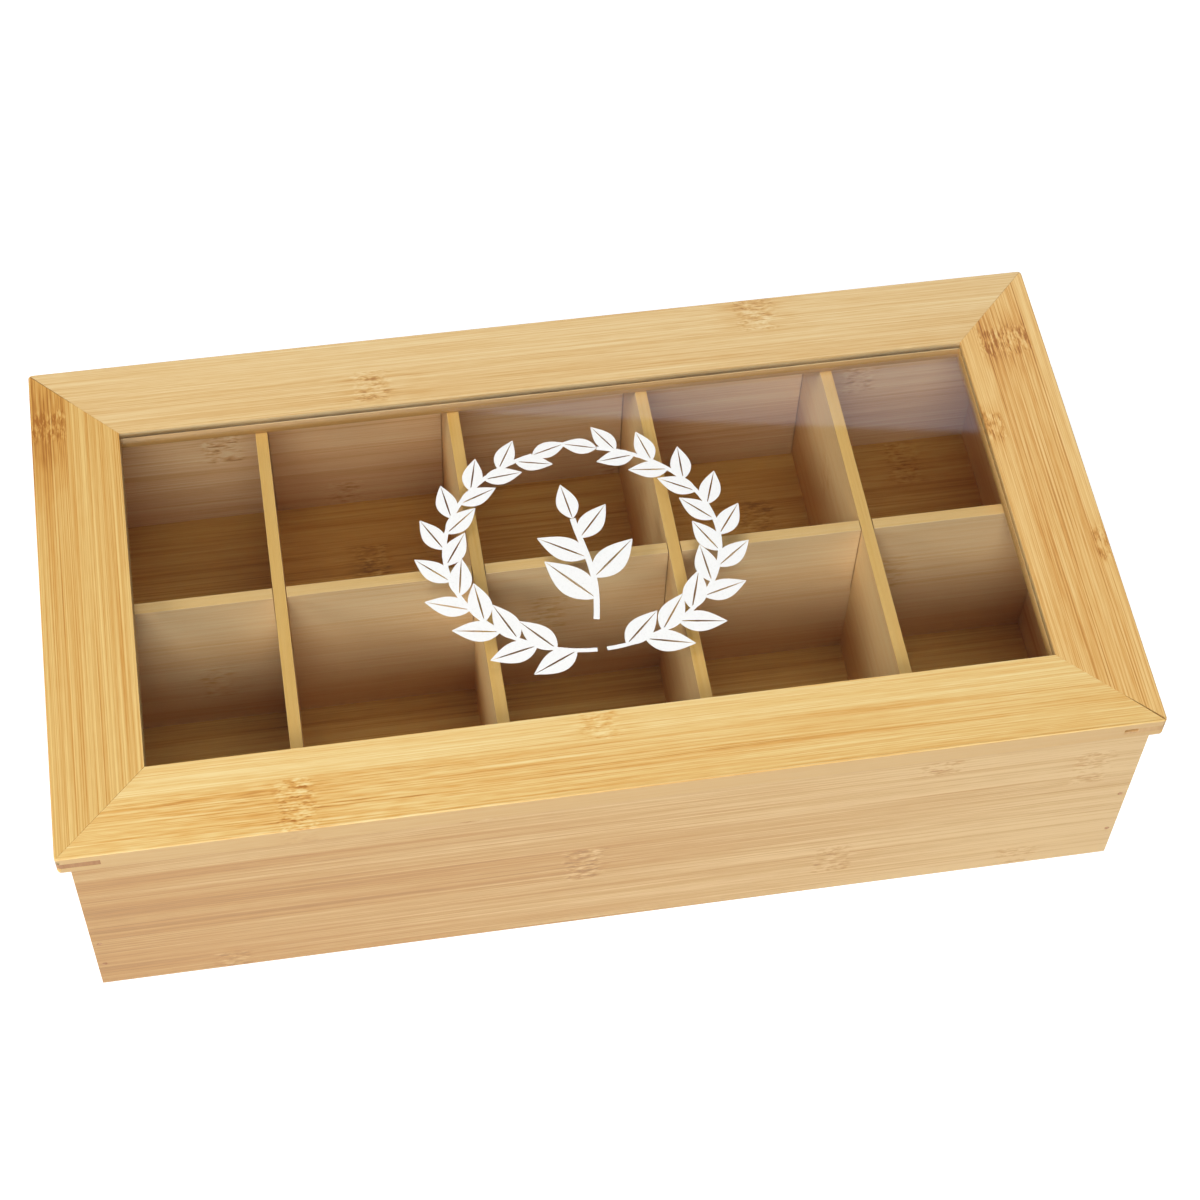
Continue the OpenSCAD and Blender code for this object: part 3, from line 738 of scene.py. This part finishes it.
sizes = {label: value * mm for label, value in screwShape.items()}
radius = sizes["Head Diameter"] / 2
for body, facing in (("box", 0.0), ("lid", math.pi)):
    screwNodes = [body + "_screws_left", body + "_screws_right"]
    places = []
    for node in screwNodes:
        low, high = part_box(node)
        places += [(x, (low[1] + high[1]) / 2, high[2] if body == "box" else low[2])
                   for x in (low[0] + radius, high[0] - radius)]
    screws = pointsPiece(body + "Screws", places)
    setInputs(screws, tree, {
        **sizes, "Length": high[2] - low[2], "Turn": (facing, 0.0, 0.0), "Material": brass})
    settle(screws)
    shadeByAngle(screws)
    dress(screws, brass, body, screwNodes)
print("screws made")

# brads driven square into the walls' faces and sanded flush, one at each point
bradShape = {"Head Diameter": 1.8, "Head Height": 0.6, "Shank Diameter": 1.2, "Rounding": 0.1}  # mm
bradMake = {"headSteps": 24, "wireSteps": 16, "weld": 0.001}  # sides, and mm within which points merge
tree, given = newTree("flushBrads", Float=[
    "Head Diameter", "Head Height", "Shank Diameter", "Length", "Rounding"], Vector=["Turn"])
headRadius, wireRadius = (addNode(tree, "ShaderNodeMath", "MULTIPLY", {0: given[label], 1: 0.5})
                          for label in ("Head Diameter", "Shank Diameter"))
faceRadius = addNode(tree, "ShaderNodeMath", "SUBTRACT", {0: headRadius, 1: given["Rounding"]})
rim = addNode(tree, "GeometryNodeMeshCone", None, {
    "Vertices": bradMake["headSteps"], "Radius Top": faceRadius, "Radius Bottom": headRadius,
    "Depth": given["Rounding"]})
rim = lowered(tree, rim, given["Rounding"], -1.0)
discHeight, discMiddle = (addNode(tree, "ShaderNodeMath", kind, {
    0: given["Head Height"], 1: given["Rounding"]}) for kind in ("SUBTRACT", "ADD"))
disc = addNode(tree, "GeometryNodeMeshCylinder", None, {
    "Vertices": bradMake["headSteps"], "Radius": headRadius, "Depth": discHeight})
disc = lowered(tree, disc, discMiddle, -0.5)
wireLength, wireMiddle = (addNode(tree, "ShaderNodeMath", kind, {
    0: given["Length"], 1: given["Head Height"]}) for kind in ("SUBTRACT", "ADD"))
wire = addNode(tree, "GeometryNodeMeshCylinder", None, {
    "Vertices": bradMake["wireSteps"], "Radius": wireRadius, "Depth": wireLength})
wire = lowered(tree, wire, wireMiddle, -0.5)
brad = addNode(tree, "GeometryNodeJoinGeometry", None, {0: [wire, disc, rim]})
brad = addNode(tree, "GeometryNodeMergeByDistance", None, {
    "Geometry": brad, "Distance": bradMake["weld"] * mm})
placed = addNode(tree, "GeometryNodeInstanceOnPoints", None, {
    "Points": given["Geometry"], "Instance": brad, "Rotation": given["Turn"]})
finishTree(tree, given, placed)

steel = wornMetal("stainedSteelWire", metalLook["steel"])
sizes = {label: value * mm for label, value in bradShape.items()}
radius = sizes["Head Diameter"] / 2
bradHeights = {"left": (14.5, 29.0), "right": (18.0, 42.0)}  # mm
rows = []
for node, facing in (("front_brads", math.pi / 2), ("back_brads", -math.pi / 2)):
    low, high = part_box(node)
    y = low[1] if node == "front_brads" else high[1]
    places = [(x, y, z * mm) for x, side in ((low[0] + radius, "left"), (high[0] - radius, "right"))
              for z in bradHeights[side]]
    row = pointsPiece(node, places)
    setInputs(row, tree, {
        **sizes, "Length": high[1] - low[1], "Turn": (facing, 0.0, 0.0), "Material": steel})
    settle(row)
    rows.append(row)
brads = joined(rows, "boxBrads")
shadeByAngle(brads)
dress(brads, steel, "box", ["front_brads", "back_brads"])
print("brads made")

# the mirror's share looking straight down, and how fast it grows towards a grazing look
paneLook = {"tint": "#FBFCFB", "mirrorTint": "#BFDCFF", "mirror": 0.05, "rise": 5.0, "roughness": 0.02}


def clearAcrylic():
    # cast acrylic sheet, polished: almost no colour, and a sharp mirror of what is above it
    material, tree = newMaterial("clearCastAcrylic")
    facing = addNode(tree, "ShaderNodeLayerWeight", None, {"Blend": 0.5}).outputs["Facing"]
    edgeOn = addNode(tree, "ShaderNodeMath", "POWER", {0: facing, 1: paneLook["rise"]})
    mirror = addNode(tree, "ShaderNodeMath", "MULTIPLY_ADD", {
        0: edgeOn, 1: 1 - paneLook["mirror"], 2: paneLook["mirror"]})
    gloss = addNode(tree, "ShaderNodeBsdfGlossy", None, {
        "Color": toLinear(paneLook["mirrorTint"]), "Roughness": paneLook["roughness"]})
    clear = addNode(tree, "ShaderNodeBsdfTransparent", None, {"Color": toLinear(paneLook["tint"])})
    sheet = addNode(tree, "ShaderNodeMixShader", None, {0: mirror, 1: clear, 2: gloss})
    addNode(tree, "ShaderNodeOutputMaterial", None, {0: sheet})
    return material


recoat(cadNodes["clear_pane"], clearAcrylic())
print("pane finished")

# leaves along a stem, drawn flat; each half of a leaf is a grid bent to its outline,
# so that a thin line along the middle stays open
leafMake = {
    "steps": (17, 4), "run": 0.98,  # grid points along and across, and how much of the length they cover
    "belly": 0.8,  # below 1 the widest place lies nearer to the stem
    # how far the angles vary, and the shares of the stem's length up to which no leaf grows and
    # past which one points straight ahead
    "leanSpread": (0.85, 1.15), "bareFoot": 0.02, "straightTip": 0.99,
}
tree, given = newTree("leafySprig", Float=[
    "Leaf Pitch", "Leaf Length", "Leaf Width", "Midrib", "Stem", "Leaf Angle", "Tip Scale"], Int=["Seed"])
grid = addNode(tree, "GeometryNodeMeshGrid", None, {
    "Size X": leafMake["run"], "Size Y": 1.0, "Vertices X": leafMake["steps"][0],
    "Vertices Y": leafMake["steps"][1]})
spot = addNode(tree, "ShaderNodeSeparateXYZ", None, {0: addNode(tree, "GeometryNodeInputPosition")})
run = addNode(tree, "ShaderNodeMath", "ADD", {0: spot.outputs[0], 1: 0.5})
rise = addNode(tree, "ShaderNodeMath", "ADD", {0: spot.outputs[1], 1: 0.5})
belly = addNode(tree, "ShaderNodeMath", "POWER", {0: run, 1: leafMake["belly"]})
belly = addNode(tree, "ShaderNodeMath", "MULTIPLY", {0: belly, 1: math.pi})
belly = addNode(tree, "ShaderNodeMath", "SINE", {0: belly})
halfLeaf, halfGap, halfStem = (
    addNode(tree, "ShaderNodeMath", "MULTIPLY", {0: given[label], 1: 0.5})
    for label in ("Leaf Width", "Midrib", "Stem"))
filled = addNode(tree, "ShaderNodeMath", "SUBTRACT", {0: halfLeaf, 1: halfGap})
reach = addNode(tree, "ShaderNodeMath", "MULTIPLY_ADD", {0: filled, 1: rise, 2: halfGap})
reach = addNode(tree, "ShaderNodeMath", "MULTIPLY", {0: reach, 1: belly})
run = addNode(tree, "ShaderNodeMath", "MULTIPLY", {0: run, 1: given["Leaf Length"]})
bent = addNode(tree, "ShaderNodeCombineXYZ", None, {0: run, 1: reach})
half = addNode(tree, "GeometryNodeSetPosition", None, {"Geometry": grid, "Position": bent})
other = addNode(tree, "GeometryNodeTransform", None, {"Geometry": half, "Scale": (1.0, -1.0, 1.0)})
other = addNode(tree, "GeometryNodeFlipFaces", None, {0: other})
leaf = addNode(tree, "GeometryNodeJoinGeometry", None, {0: [half, other]})
spaced = addNode(tree, "GeometryNodeResampleCurve", {"mode": "LENGTH"}, {
    "Curve": given["Geometry"], "Length": given["Leaf Pitch"]})
factor = addNode(tree, "GeometryNodeSplineParameter").outputs["Factor"]
spaced = addNode(tree, "GeometryNodeStoreNamedAttribute", {"data_type": "FLOAT", "domain": "POINT"}, {
    "Geometry": spaced, "Name": "alongStem", "Value": factor})
points = addNode(tree, "GeometryNodeCurveToPoints", {"mode": "EVALUATED"}, {"Curve": spaced})
way = addNode(tree, "FunctionNodeAlignRotationToVector", {"axis": "X", "pivot_axis": "Z"}, {
    "Vector": points.outputs["Tangent"]})
alongStem = addNode(tree, "GeometryNodeInputNamedAttribute", {"data_type": "FLOAT"}, {
    "Name": "alongStem"}).outputs["Attribute"]
# leaves stand on the left and right in turn, and the last one points straight ahead
side = addNode(tree, "ShaderNodeMath", "MODULO", {
    0: addNode(tree, "GeometryNodeInputIndex"), 1: 2.0})
side = addNode(tree, "ShaderNodeMath", "MULTIPLY_ADD", {0: side, 1: 2.0, 2: -1.0})
inside = addNode(tree, "ShaderNodeMath", "LESS_THAN", {0: alongStem, 1: leafMake["straightTip"]})
lean = addNode(tree, "FunctionNodeRandomValue", {"data_type": "FLOAT"}, {
    2: leafMake["leanSpread"][0], 3: leafMake["leanSpread"][1], "Seed": given["Seed"]}).outputs[1]
for by in (given["Leaf Angle"], side, inside):
    lean = addNode(tree, "ShaderNodeMath", "MULTIPLY", {0: lean, 1: by})
lean = addNode(tree, "ShaderNodeCombineXYZ", None, {2: lean})
lean = addNode(tree, "FunctionNodeEulerToRotation", None, {0: lean})
turned = addNode(tree, "FunctionNodeRotateRotation", {"rotation_space": "LOCAL"}, {0: way, 1: lean})
taper = addNode(tree, "ShaderNodeMapRange", None, {
    0: alongStem, 1: 0.0, 2: 1.0, 3: 1.0, 4: given["Tip Scale"]})
grown = addNode(tree, "ShaderNodeMath", "GREATER_THAN", {0: alongStem, 1: leafMake["bareFoot"]})
leaves = addNode(tree, "GeometryNodeInstanceOnPoints", None, {
    "Points": points, "Selection": grown, "Instance": leaf, "Rotation": turned, "Scale": taper})
upright = addNode(tree, "GeometryNodeSetCurveNormal", {"mode": "Z_UP"}, {0: given["Geometry"]})
minusStem = addNode(tree, "ShaderNodeMath", "MULTIPLY", {0: given["Stem"], 1: -0.5})
ribbon = addNode(tree, "GeometryNodeCurvePrimitiveLine", None, {
    "Start": addNode(tree, "ShaderNodeCombineXYZ", None, {0: minusStem}),
    "End": addNode(tree, "ShaderNodeCombineXYZ", None, {0: halfStem})})
stem = addNode(tree, "GeometryNodeCurveToMesh", None, {"Curve": upright, "Profile Curve": ribbon})
sprig = addNode(tree, "GeometryNodeJoinGeometry", None, {0: [stem, leaves]})
finishTree(tree, given, sprig)

printShape = {
    "thickness": 0.045, "gap": 0.004,  # mm
    "step": 0.001,  # mm, each leaf is printed a little above the last
    "centre": (2.0, 0.0), "halfWidth": 47.0, "halfHeight": 42.0,  # mm, the wreath's stems
    "branch": {"from": 2, "step": 4, "points": 42},  # degrees from the bottom
    # mm, apart from the number of points and how many of them make one radian of sway
    "twig": {"sway": 1.8, "bend": 5.0, "bottom": -30.0, "step": 2.0, "points": 22},
    "wreath": {"Leaf Pitch": 6.4, "Leaf Length": 17.5, "Leaf Width": 8.8, "Midrib": 0.7, "Stem": 1.5},  # mm
    "sprig": {"Leaf Pitch": 7.2, "Leaf Length": 25.0, "Leaf Width": 12.5, "Midrib": 0.9, "Stem": 2.0},  # mm
    "wreathHabit": {"Leaf Angle": 0.62, "Tip Scale": 0.75},  # radians, and the last leaf's size
    "sprigHabit": {"Leaf Angle": 0.78, "Tip Scale": 0.60},
}
inkLook = {
    # a pore's size in mm, and where it starts to thin the ink and has thinned it
    "color": "#F7F7F5", "thin": "#EFEFEC", "pore": 0.5, "thinned": (0.55, 0.75),
    "bumpHeight": 0.02, "bumpStrength": 0.2, "roughness": 0.6,  # the height in mm
}


def whiteInk():
    # screen-printed white ink: opaque, matte, a little thin where the mesh left fine pores
    material, tree = newMaterial("screenPrintedWhiteInk")
    coords = addNode(tree, "ShaderNodeTexCoord").outputs["Object"]
    pores = addNode(tree, "ShaderNodeTexNoise", None, {
        "Vector": coords, "Scale": 1 / (inkLook["pore"] * mm), "Detail": 1.0})
    color = tinted(tree, pores, inkLook["thinned"], 1.0, toLinear(inkLook["color"]), inkLook["thin"])[0]
    finishSurface(tree, inkLook, pores, {"Base Color": color, "Roughness": inkLook["roughness"]})
    return material


cx, cy = printShape["centre"]
halfWidth, halfHeight = printShape["halfWidth"], printShape["halfHeight"]
branch, twig = printShape["branch"], printShape["twig"]
stems = []
for turn, seed in ((1, 7), (-1, 19)):  # the wreath's two branches rise from the bottom and nearly meet on top
    angles = [math.radians(branch["from"] + branch["step"] * i) for i in range(branch["points"])]
    path = [(cx + turn * halfWidth * math.sin(t), cy - halfHeight * math.cos(t)) for t in angles]
    stems.append((path, "wreath", seed))
path = [(cx + twig["sway"] * math.sin(i / twig["bend"]), cy + twig["bottom"] + i * twig["step"])
        for i in range(twig["points"])]
stems.append((path, "sprig", 3))
ink = whiteInk()
printed = []
for path, kind, seed in stems:
    curve = bpy.data.curves.new("stem", "CURVE")
    curve.dimensions = "3D"
    spline = curve.splines.new("POLY")
    spline.points.add(len(path) - 1)
    for point, (x, y) in zip(spline.points, path):
        point.co = (x * mm, y * mm, 0.0, 1.0)
    stem = newObject("stem", curve)
    setInputs(stem, tree, {**{label: value * mm for label, value in printShape[kind].items()},
                           **printShape[kind + "Habit"], "Seed": seed, "Material": ink})
    flat = evaluatedMesh(stem)
    bpy.data.objects.remove(stem)
    printed.append(newObject("sprig", flat))
leafPrint = joined(printed, "whiteLeafPrint")
shape = bmesh.new()
shape.from_mesh(leafPrint.data)
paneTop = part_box("clear_pane")[1][2]
for face in shape.faces:
    if face.normal.z < 0:
        face.normal_flip()
pending, island = set(shape.verts), 0
while pending:
    grown = [pending.pop()]
    for v in grown:
        v.co.z = paneTop + (printShape["gap"] + island * printShape["step"]) * mm
        near = {edge.other_vert(v) for edge in v.link_edges} & pending
        pending -= near
        grown += near
    island += 1
shape.to_mesh(leafPrint.data)
shape.free()
film = leafPrint.modifiers.new("ink film", "SOLIDIFY")
film.thickness, film.offset = printShape["thickness"] * mm, 1.0
settle(leafPrint)
leafPrint.data.shade_flat()
dress(leafPrint, ink, "lid")
print("leaf design printed:", len(leafPrint.data.polygons), "faces")

studio = {
    "ambient": 0.04,  # world light on the object
    # softboxes: place in m, energy in W, width in m
    "lamps": {"frontKey": ((-0.3, -2.15, 1.6), 46.0, 1.2), "sideKey": ((-2.05, -0.5, 1.3), 39.0, 1.2),
              "topFill": ((0.1, -0.1, 2.3), 14.0, 1.8), "backFill": ((0.9, 2.0, 1.0), 12.0, 1.6)},
    "aim": (0.0, 0.0, 0.05), "floorHalf": 6.0,  # m
    "floorColor": "#C6C6C6", "floorLift": 0.72,
    "floorReach": (0.5, 1.6),  # m, where the floor starts to turn plain white, and where it is
    # m, the near edge of the white panel, its height, and how far the dark card reaches
    "flagFrom": (0.055, 0.844), "flagTo": (0.483, 0.763), "flagHeight": 1.087, "flagReach": (4.0, 5.0),
    "flagGlow": 0.05,
}


def seenBackground(tree):
    # 1 for rays from the camera, from mirrors and through clear pieces, and 0 for light on the object
    path = addNode(tree, "ShaderNodeLightPath")
    onward = addNode(tree, "ShaderNodeMath", "MAXIMUM", {
        0: path.outputs["Is Glossy Ray"], 1: path.outputs["Is Transmission Ray"]})
    return addNode(tree, "ShaderNodeMath", "MAXIMUM", {
        0: path.outputs["Is Camera Ray"], 1: onward})


world = bpy.data.worlds.new("studio")
bpy.context.scene.world = world
world.use_nodes = True
tree = world.node_tree
tree.nodes.clear()
light, white = (addNode(tree, "ShaderNodeBackground", None, {
    "Color": toLinear("#FFFFFF"), "Strength": strength}) for strength in (studio["ambient"], 1.0))
both = addNode(tree, "ShaderNodeMixShader", None, {0: seenBackground(tree), 1: light, 2: white})
addNode(tree, "ShaderNodeOutputWorld", None, {0: both})

for name, (place, energy, width) in studio["lamps"].items():
    softbox = bpy.data.lights.new(name, "AREA")
    softbox.shape, softbox.size, softbox.energy = "DISK", width, energy
    lamp = newObject(name, softbox)
    lamp.location = place
    lamp.rotation_euler = (Vector(studio["aim"]) - lamp.location).to_track_quat("-Z", "Y").to_euler()

ground = bmesh.new()
bmesh.ops.create_grid(ground, x_segments=1, y_segments=1, size=studio["floorHalf"])
studioFloor = toObject(ground, "studioFloor")
material, tree = newMaterial("paleStudioFloor")
away = addNode(tree, "ShaderNodeVectorMath", "LENGTH", {
    0: addNode(tree, "ShaderNodeTexCoord").outputs["Object"]})
start, full = studio["floorReach"]
lift = addNode(tree, "ShaderNodeMapRange", None, {
    0: away.outputs["Value"], 1: start, 2: full, 3: studio["floorLift"], 4: 1.0})
lift = addNode(tree, "ShaderNodeMath", "MULTIPLY", {0: seenBackground(tree), 1: lift})
matte = addNode(tree, "ShaderNodeBsdfDiffuse", None, {"Color": toLinear(studio["floorColor"])})
glow = addNode(tree, "ShaderNodeEmission", None, {"Color": toLinear("#FFFFFF"), "Strength": lift})
sheet = addNode(tree, "ShaderNodeAddShader", None, {0: matte, 1: glow})
under = addNode(tree, "ShaderNodeNewGeometry").outputs["Backfacing"]  # clear from below
clear = addNode(tree, "ShaderNodeBsdfTransparent")
sheet = addNode(tree, "ShaderNodeMixShader", None, {0: under, 1: sheet, 2: clear})
addNode(tree, "ShaderNodeOutputMaterial", None, {0: sheet})
studioFloor.data.materials.append(material)

# a dark card over the box, for reflections only: beyond its edge the pane mirrors white
edgeFrom, edgeTo = Vector(studio["flagFrom"]), Vector(studio["flagTo"])
sideReach, nearReach = studio["flagReach"]
edgeWay = (edgeTo - edgeFrom).normalized()
nearWay = Vector((edgeWay.y, -edgeWay.x))
edgeFrom, edgeTo = edgeFrom - edgeWay * sideReach, edgeTo + edgeWay * sideReach
corners = [edgeFrom, edgeTo, edgeTo + nearWay * nearReach, edgeFrom + nearWay * nearReach]
card = bpy.data.meshes.new("darkCard")
card.from_pydata([(c.x, c.y, studio["flagHeight"]) for c in corners], [], [(0, 1, 2, 3)])
darkCard = newObject("darkCard", card)
material, tree = newMaterial("blackFoamCard")
dim = addNode(tree, "ShaderNodeEmission", None, {
    "Color": toLinear("#FFFFFF"), "Strength": studio["flagGlow"]})
addNode(tree, "ShaderNodeOutputMaterial", None, {0: dim})
card.materials.append(material)
darkCard.visible_camera = darkCard.visible_diffuse = darkCard.visible_shadow = False
darkCard.visible_transmission = darkCard.visible_volume_scatter = False

view = {"place": (-0.095901, -0.508142, 0.820259), "turn": (34.0227, -1.6662, -9.1986),  # m, degrees
        "lens": 79.221, "sensor": 36.0}  # mm
lens = bpy.data.cameras.new("camera")
lens.lens, lens.sensor_width = view["lens"], view["sensor"]
camera = newObject("camera", lens)
camera.location = view["place"]
camera.rotation_euler = [math.radians(angle) for angle in view["turn"]]
bpy.context.scene.camera = camera
bpy.context.scene.view_settings.view_transform = "Standard"
